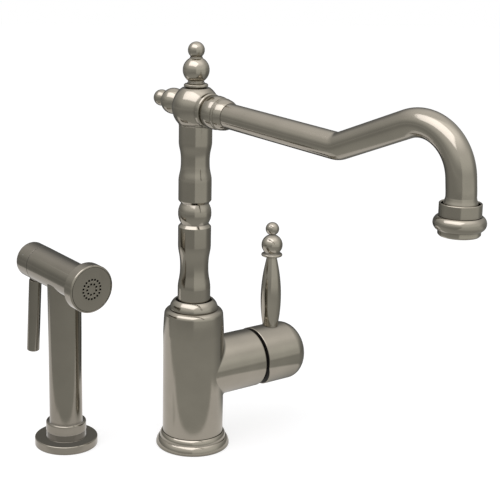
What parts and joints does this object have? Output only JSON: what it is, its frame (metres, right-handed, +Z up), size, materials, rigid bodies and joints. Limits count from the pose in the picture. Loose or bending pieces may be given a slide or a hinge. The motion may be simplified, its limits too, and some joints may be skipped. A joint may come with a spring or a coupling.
{
  "type": "side spray kitchen faucet",
  "caption": "Turned column kitchen faucet with a bent swivel spout, a ball-finial side lever and a separate hand spray in a deck holder.",
  "frame": {"origin": "where the faucet's vertical axis meets the top face of the deck", "axes": "+Z up, -Y towards the user and the sink, +X to the user's right along the row of deck holes"},
  "size_m": [0.3131, 0.284, 0.3806],
  "materials": {
    "satin_nickel": "satin",
    "brass": "satin",
    "zinc_steel": "satin",
    "black_rubber": "matte",
    "white_acetal": "matte",
    "alumina": "satin"
  },
  "bodies": {
    "fixed_column": {"base_flange": "satin_nickel", "faucet_body": "satin_nickel", "mounting_shank": "brass", "deck_gasket": "black_rubber", "shank_washer": "zinc_steel", "shank_nut": "brass", "column_collar": "satin_nickel", "cartridge_case": "white_acetal", "cartridge_seals": "black_rubber", "fixed_disc": "alumina", "cartridge_nut": "brass", "diverter_sleeve": "white_acetal", "spray_holder": "satin_nickel", "holder_ring": "satin_nickel", "holder_bush": "white_acetal", "holder_gasket": "black_rubber", "holder_washer": "zinc_steel", "holder_nut": "brass"},
    "spout": {"riser_tube": "brass", "riser_seals": "black_rubber", "glide_ring": "white_acetal", "column_clip": "zinc_steel", "column_lower": "satin_nickel", "column_bead": "satin_nickel", "column_upper": "satin_nickel", "spout_hub": "satin_nickel", "finial_ring": "satin_nickel", "top_finial": "satin_nickel", "rear_finial": "satin_nickel", "spout_ferrule": "satin_nickel", "spout_collar": "satin_nickel", "spout_tube": "satin_nickel", "outlet_cup": "satin_nickel", "outlet_ring": "satin_nickel", "aerator_housing": "satin_nickel", "aerator_insert": "white_acetal", "aerator_washer": "black_rubber"},
    "carrier": {"cartridge_carrier": "white_acetal", "pivot_pin": "zinc_steel"},
    "mixing_disc": {"moving_disc": "alumina"},
    "handle": {"cartridge_spindle": "brass", "handle_hub": "satin_nickel", "grub_screw": "zinc_steel", "handle_lever": "satin_nickel", "lever_finial": "satin_nickel"},
    "diverter": {"diverter_piston": "white_acetal"},
    "hose_tail": {"hose_inlet": "brass", "inlet_seal": "black_rubber"},
    "hand_spray": {"sprayer_body": "satin_nickel", "rear_cap": "satin_nickel", "spray_collar": "satin_nickel", "spray_face": "satin_nickel", "valve_seat": "brass", "lever_pin": "zinc_steel", "valve_spring": "zinc_steel"},
    "spray_lever": {"squeeze_lever": "satin_nickel"},
    "plunger": {"valve_plunger": "brass", "valve_washer": "black_rubber"}
  },
  "joints": [
    {"name": "spout_swivel", "type": "hinge", "parent": "fixed_column", "child": "spout", "pos_m": [0, 0, 0.0994], "axis": [0, 0, 1], "continuous": true},
    {"name": "handle_turn", "type": "hinge", "parent": "fixed_column", "child": "carrier", "pos_m": [0.03964, 0.02525, 0.0614], "axis": [0.8434, 0.5373, 0], "range_deg": [-45, 45]},
    {"name": "handle_tilt", "type": "hinge", "parent": "carrier", "child": "handle", "pos_m": [0.03964, 0.02525, 0.0614], "axis": [-0.5373, 0.8434, 0], "range_deg": [0, 13]},
    {"name": "disc_slide", "type": "slide", "parent": "carrier", "child": "mixing_disc", "axis": [0, 0, 1], "range_m": [0, 0.0034]},
    {"name": "diverter_slide", "type": "slide", "parent": "fixed_column", "child": "diverter", "axis": [0, 0, 1], "range_m": [0, 0.003]},
    {"name": "spray_lift", "type": "slide", "parent": "fixed_column", "child": "hose_tail", "axis": [0, 0, 1], "range_m": [0, 0.3]},
    {"name": "spray_turn", "type": "hinge", "parent": "hose_tail", "child": "hand_spray", "pos_m": [-0.1016, 0, 0.03], "axis": [0, 0, 1], "continuous": true},
    {"name": "lever_squeeze", "type": "hinge", "parent": "hand_spray", "child": "spray_lever", "pos_m": [-0.1264, 0.03477, 0.1478], "axis": [-0.8141, -0.5807, 0], "range_deg": [0, 12], "stiffness_Nm_per_rad": 2, "springref_deg": -5.73},
    {"name": "plunger_slide", "type": "slide", "parent": "hand_spray", "child": "plunger", "axis": [0.5802, -0.8134, -0.0419], "range_m": [0, 0.00135], "deforming": ["valve_spring"]}
  ],
  "couplings": [
    {"joint": "disc_slide", "follows": "handle_tilt", "m_per_rad": 0.014104},
    {"joint": "plunger_slide", "follows": "lever_squeeze", "m_per_rad": 0.006255},
    {"joint": "diverter_slide", "follows": "lever_squeeze", "m_per_rad": 0.013369}
  ]
}
